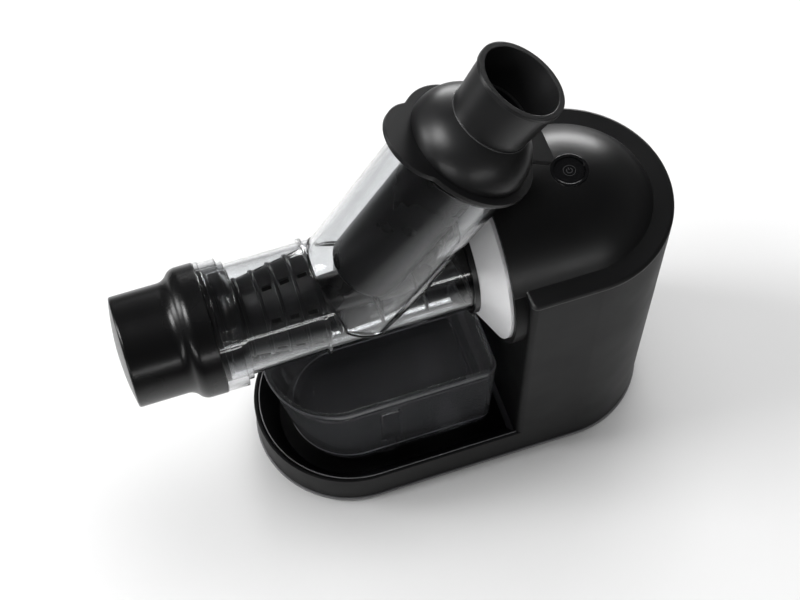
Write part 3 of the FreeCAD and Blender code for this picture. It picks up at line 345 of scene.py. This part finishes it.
# Dark seam where the chute meets the tube
def make_chute_seam():
    tube, chute, bead = 0.0321, 0.0338, 0.0007
    low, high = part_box("pulp_seal")
    foot_x = -0.02811
    foot = Vector((foot_x, 0, (low[2] + high[2]) / 2))
    sine, _, cosine = chute_direction()
    reach = math.sqrt(chute ** 2 - tube ** 2) / cosine
    side = math.sqrt(chute ** 2 - reach ** 2)
    turn = math.acos(-reach * sine / tube)

    def crossing(angle, sign):
        y, z = -tube * math.sin(angle), tube * math.cos(angle)
        across = sign * math.sqrt(chute ** 2 - y ** 2)
        return foot + Vector(((across + z * sine) / cosine, y, z))

    steps = 30
    near = [crossing(turn * step / steps, 1) for step in range(steps)]
    swing = math.atan2(reach, side)
    for step in range(steps):
        angle = swing - 2 * swing * step / steps
        across = chute * math.sin(angle)
        near.append(foot + Vector((across * cosine, -chute * math.cos(angle), -across * sine)))
    near += [crossing((math.pi - turn) * (1 - step / steps), -1) for step in range(steps + 1)]
    far = [Vector((point.x, -point.y, point.z)) for point in reversed(near[1:-1])]
    bead_along("chute_seam", near + far, bead, seam_black, "chamber")


make_chute_seam()


# Painted highlight lines: a ring at the throat inside the pusher's mouth, in the grip's lightened
# black, and a pale bead in the crease round the foot of its neck
def make_pusher_rings():
    axis = Vector(chute_direction()).normalized()
    across = Vector((axis.z, 0, -axis.x))
    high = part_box("pusher_grip")[1]
    mouth_radius, mouth_distance, steps = 0.0252, 0.1818, 64
    corner = Vector((high[0], 0, high[2]))
    sideways = Vector((0, 1, 0))
    turns = [2 * math.pi * step / steps for step in range(steps)]
    foot = corner - mouth_distance * axis - mouth_radius * Vector((axis.z, 0, axis.x))
    for name, radius, distance, bead, material in (
            ("throat_ring", 0.0178, 0.1580, 0.0005, grip_lit_black),
            ("neck_crease", 0.0223, 0.1519, 0.00035, crease_highlight_grey)):
        centre = foot + axis * distance
        points = [centre + radius * (math.cos(turn) * across + math.sin(turn) * sideways)
                  for turn in turns]
        bead_along(name, points, bead, material, "pusher")


make_pusher_rings()


# Rim of the base plate in pale grey: a painted highlight line under the body's dark gap
def make_base_rim():
    low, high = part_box("base_plate")
    radius = (high[1] - low[1]) / 2
    proud, sunk, round_off = 0.0023, -0.0006, 0.0004
    bottom, top = low[2] - 0.0012, low[2] + 0.0006
    front, rear = low[0] + radius, high[0] - radius
    section = [(sunk, top), (proud - round_off, top), (proud, top - round_off),
               (proud, bottom + round_off), (proud - round_off, bottom), (sunk, bottom)]
    shape = bmesh.new()
    rows = [[shape.verts.new((x, y, z)) for x, y in stadium_points(front, rear, radius + out)]
            for out, z in section]
    count = len(rows[0])
    for near, far in zip(rows, rows[1:] + rows[:1]):
        for index in range(count):
            after = (index + 1) % count
            shape.faces.new((near[index], near[after], far[after], far[index]))
    bmesh.ops.recalc_face_normals(shape, faces=shape.faces)
    add_piece("base_rim", shape, edge_highlight_grey, "housing")


make_base_rim()


# Dark sleeve behind the clear bayonet ring
def make_strainer_sleeve():
    ring_low, ring_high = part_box("bayonet_ring")
    seal_low, seal_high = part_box("pulp_seal")
    room, overlap, wall = 0.0034, 0.0012, 0.0015
    outer = (seal_high[1] - seal_low[1]) / 2 - room
    front, rear = seal_high[0] + room, ring_high[0] + overlap
    turned("strainer_sleeve", [(front, outer), (rear, outer), (rear, outer - wall),
                               (front, outer - wall)], dark_inner, "chamber")


make_strainer_sleeve()


# Power symbol, a film just above the button's face
def symbol_ring(mesh, centre, radius, width, start, sweep, steps=40):
    """Flat arc of a ring with square ends."""
    rows = []
    for step in range(steps + 1):
        angle = math.radians(start + sweep * step / steps)
        outward = Vector((math.cos(angle), math.sin(angle), 0))
        rows.append([mesh.verts.new(centre + outward * (radius + side * width / 2))
                     for side in (-1, 1)])
    for near, far in zip(rows, rows[1:]):
        mesh.faces.new((near[0], near[1], far[1], far[0]))


def make_power_symbol():
    low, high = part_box("power_button")
    proud = 0.00006
    centre = Vector(((low[0] + high[0]) / 2, (low[1] + high[1]) / 2, high[2] + proud))
    radius = (high[0] - low[0]) / 2
    line = radius * 0.06
    shape = bmesh.new()
    symbol_ring(shape, centre, radius * 0.4, line * 0.7, 0, 360, 64)
    symbol_ring(shape, centre, radius * 0.19, line, 125, 290)
    along = Vector((0, 1, 0))
    across = Vector((line / 2, 0, 0))
    foot, top = centre + along * radius * 0.03, centre + along * radius * 0.25
    shape.faces.new([shape.verts.new(point) for point in (foot - across, foot + across, top + across,
                                                          top - across)])
    add_piece("power_symbol", shape, symbol_grey, "button")


make_power_symbol()


# Floor: to the camera, painted shade near the object and a glow that whitens the far floor; in
# reflections, a painted pool of light
def make_floor():
    mesh = bpy.data.meshes.new("floor")
    half = 6.0
    mesh.from_pydata([(-half, -half, 0), (half, -half, 0), (half, half, 0), (-half, half, 0)], [],
                     [(0, 1, 2, 3)])
    floor = bpy.data.objects.new("floor", mesh)
    bpy.context.collection.objects.link(floor)
    material, tree, shader = new_material("floor_white")
    shader.inputs["Roughness"].default_value = 0.85
    shader.inputs["Specular IOR Level"].default_value = 0.1
    path = add_node(tree, "ShaderNodeLightPath")
    place = add_node(tree, "ShaderNodeTexCoord")
    reach = add_node(tree, "ShaderNodeVectorMath", operation="LENGTH")
    tree.links.new(place.outputs["Object"], reach.inputs[0])
    # Painted pool of light: seen in reflections, the floor is bright near the object and dark
    # further out.
    light_pool_near, light_pool_far = 0.22, 0.62
    painted_light_pool = ramp(tree, reach.outputs["Value"], grey(0.85), grey(0.05), light_pool_near, light_pool_far)
    mix = add_node(tree, "ShaderNodeMix", data_type="RGBA")
    tree.links.new(path.outputs["Glossy Depth"], mix.inputs["Factor"])
    # Painted shade: to the camera the floor is darker near the object.
    shade_near, shade_far = 0.2, 0.55
    shaded_floor = ramp(tree, reach.outputs["Value"], grey(0.8), grey(0.92), shade_near, shade_far)
    tree.links.new(shaded_floor, mix.inputs["A"])
    tree.links.new(painted_light_pool, mix.inputs["B"])
    tree.links.new(mix.outputs["Result"], shader.inputs["Base Color"])
    # Painted light: the far floor glows white for camera and transmission rays, not near the object.
    glow_near, glow_far = 0.5, 0.95
    distance = ramp(tree, reach.outputs["Value"], grey(0.0), grey(1.0), glow_near, glow_far)
    seen = add_node(tree, "ShaderNodeMath", operation="MAXIMUM")
    tree.links.new(path.outputs["Is Camera Ray"], seen.inputs[0])
    tree.links.new(path.outputs["Is Transmission Ray"], seen.inputs[1])
    direct = add_node(tree, "ShaderNodeMath", operation="SUBTRACT", use_clamp=True)
    tree.links.new(seen.outputs["Value"], direct.inputs[0])
    tree.links.new(path.outputs["Glossy Depth"], direct.inputs[1])
    far_glow = add_node(tree, "ShaderNodeMath", operation="MULTIPLY")
    tree.links.new(direct.outputs["Value"], far_glow.inputs[0])
    tree.links.new(distance, far_glow.inputs[1])
    shader.inputs["Emission Color"].default_value = grey(1.0)
    tree.links.new(far_glow.outputs["Value"], shader.inputs["Emission Strength"])
    mesh.materials.append(material)


def make_world():
    """A pale surround that is darker overhead, as in a studio under a black ceiling."""
    world = bpy.data.worlds.new("studio")
    bpy.context.scene.world = world
    world.use_nodes = True
    tree = world.node_tree
    background = tree.nodes["Background"]
    direction = add_node(tree, "ShaderNodeTexCoord")
    split = add_node(tree, "ShaderNodeSeparateXYZ")
    tree.links.new(direction.outputs["Generated"], split.inputs["Vector"])
    height = add_node(tree, "ShaderNodeMapRange")
    height.inputs["From Min"].default_value = 0.15
    height.inputs["From Max"].default_value = 0.75
    height.inputs["To Min"].default_value = 0.35
    height.inputs["To Max"].default_value = 0.12
    tree.links.new(split.outputs["Z"], height.inputs["Value"])
    path = add_node(tree, "ShaderNodeLightPath")
    mirrored = add_node(tree, "ShaderNodeMapRange")
    mirrored.inputs["To Min"].default_value = 1.0
    mirrored.inputs["To Max"].default_value = 0.35
    tree.links.new(path.outputs["Glossy Depth"], mirrored.inputs["Value"])
    dimmed = add_node(tree, "ShaderNodeMath", operation="MULTIPLY")
    tree.links.new(height.outputs["Result"], dimmed.inputs[0])
    tree.links.new(mirrored.outputs["Result"], dimmed.inputs[1])
    strength = add_node(tree, "ShaderNodeMath", operation="MAXIMUM")
    tree.links.new(dimmed.outputs["Value"], strength.inputs[0])
    tree.links.new(path.outputs["Is Camera Ray"], strength.inputs[1])
    tree.links.new(strength.outputs["Value"], background.inputs["Strength"])
    background.inputs["Color"].default_value = grey(1.0)


def area_light(name, place, target, width, height, power):
    data = bpy.data.lights.new(name, "AREA")
    data.shape = "RECTANGLE"
    data.size = width
    data.size_y = height
    data.energy = power
    lamp = bpy.data.objects.new(name, data)
    bpy.context.collection.objects.link(lamp)
    place, target = Vector(place), Vector(target)
    turn = (target - place).to_track_quat("-Z", "Y")
    lamp.matrix_world = Matrix.Translation(place) @ turn.to_matrix().to_4x4()
    return lamp


def make_lights():
    middle = (0.0, 0.0, 0.12)
    area_light("key", (-0.8, 0.25, 1.35), middle, 0.5, 0.5, 12.0)
    area_light("left", (-1.35, 0.6, 0.65), middle, 0.4, 0.8, 9.0)
    area_light("back", (0.65, 1.4, 0.33), middle, 1.2, 0.4, 16.0)
    area_light("front", (0.25, -1.5, 0.55), middle, 1.2, 0.07, 2.5)
    area_light("front_left", (-1.15, -1.0, 0.6), middle, 0.8, 0.07, 2.5)
    overhead = area_light("overhead", (0.3, 0.3, 1.5), middle, 0.9, 0.9, 13.0)
    overhead.visible_glossy = False
    overhead.visible_transmission = False


def make_camera():
    """The photograph's view: measured place, directions and focal length."""
    focal_pixels = 1735.2
    image_width = 800.0
    sensor = 36.0
    place = Vector((-0.14613, -0.46263, 1.02424))
    right = Vector((0.94831548, -0.31726102, -0.00657253))
    down = Vector((-0.28151421, -0.83154604, -0.47883288))
    forward = right.cross(down)
    data = bpy.data.cameras.new("camera")
    data.sensor_width = sensor
    data.lens = focal_pixels / image_width * sensor
    data.clip_start = 0.05
    camera = bpy.data.objects.new("camera", data)
    bpy.context.collection.objects.link(camera)
    turn = Matrix((right, -down, -forward)).transposed().to_4x4()
    camera.matrix_world = Matrix.Translation(place) @ turn
    bpy.context.scene.camera = camera


bpy.context.scene.view_settings.view_transform = "Standard"
make_floor()
make_world()
make_lights()
make_camera()
